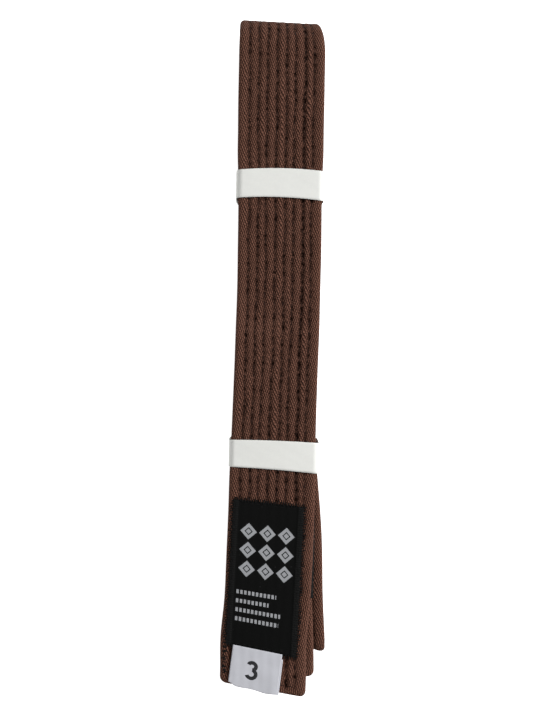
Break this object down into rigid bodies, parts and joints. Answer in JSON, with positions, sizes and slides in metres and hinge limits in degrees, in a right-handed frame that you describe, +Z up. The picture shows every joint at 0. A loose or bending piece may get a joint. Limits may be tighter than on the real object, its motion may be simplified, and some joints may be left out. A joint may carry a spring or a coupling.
{
  "type": "martial arts belt",
  "caption": "Folded martial arts belt in brown cotton twill, with a woven label and size tag, held in a flat bundle by two paper bands.",
  "frame": {"origin": "middle of the lower paper band's underside, on the surface that the bundle lies on", "axes": "+Y along the bundle towards its folded top, +Z up out of the label side, +X to the right as seen from above"},
  "size_m": [0.0496, 0.3291, 0.0391],
  "materials": {
    "twill": "matt cotton twill",
    "core": "unbleached cotton canvas",
    "thread": "dull spun thread",
    "rank_sleeve": "matt black cotton",
    "black_thread": "dull spun thread",
    "label": "woven damask, slight sheen",
    "size_tag": "pale woven satin ribbon",
    "paper": "smooth white paper",
    "glue": "dried clear glue"
  },
  "bodies": {
    "bundle": {"cover": "twill", "core_ply_1": "core", "core_ply_2": "core", "core_ply_3": "core", "stitch_row_1": "thread", "stitch_row_2": "thread", "stitch_row_3": "thread", "stitch_row_4": "thread", "stitch_row_5": "thread", "stitch_row_6": "thread", "stitch_row_7": "thread", "stitch_row_8": "thread", "rank_end_seam": "thread", "rank_sleeve": "rank_sleeve", "rank_sleeve_stitching": "black_thread"},
    "label_end": {"label_end_cover": "twill", "label_end_ply_1": "core", "label_end_ply_2": "core", "label_end_ply_3": "core", "label_end_rows": "thread", "label_end_seam": "thread", "label": "label", "label_stitching": "black_thread"},
    "size_tag": {"size_tag": "size_tag"},
    "upper_band": {"upper_band": "paper", "upper_band_glue": "glue"},
    "lower_band": {"lower_band": "paper", "lower_band_glue": "glue"}
  },
  "joints": [
    {"name": "label_end_lift", "type": "hinge", "parent": "bundle", "child": "label_end", "pos_m": [0, -0.012, 0.03765], "axis": [-1, 0, 0], "range_deg": [0, 40]},
    {"name": "size_tag_flip", "type": "hinge", "parent": "label_end", "child": "size_tag", "pos_m": [-0.00532, -0.09483, 0.0386], "axis": [-0.9854, 0.1702, 0], "range_deg": [0, 120]},
    {"name": "upper_band_slide", "type": "slide", "parent": "bundle", "child": "upper_band", "axis": [0, 1, 0], "range_m": [-0.025, 0.095]},
    {"name": "lower_band_slide", "type": "slide", "parent": "bundle", "child": "lower_band", "axis": [0, 1, 0], "range_m": [0, 0.085]}
  ]
}
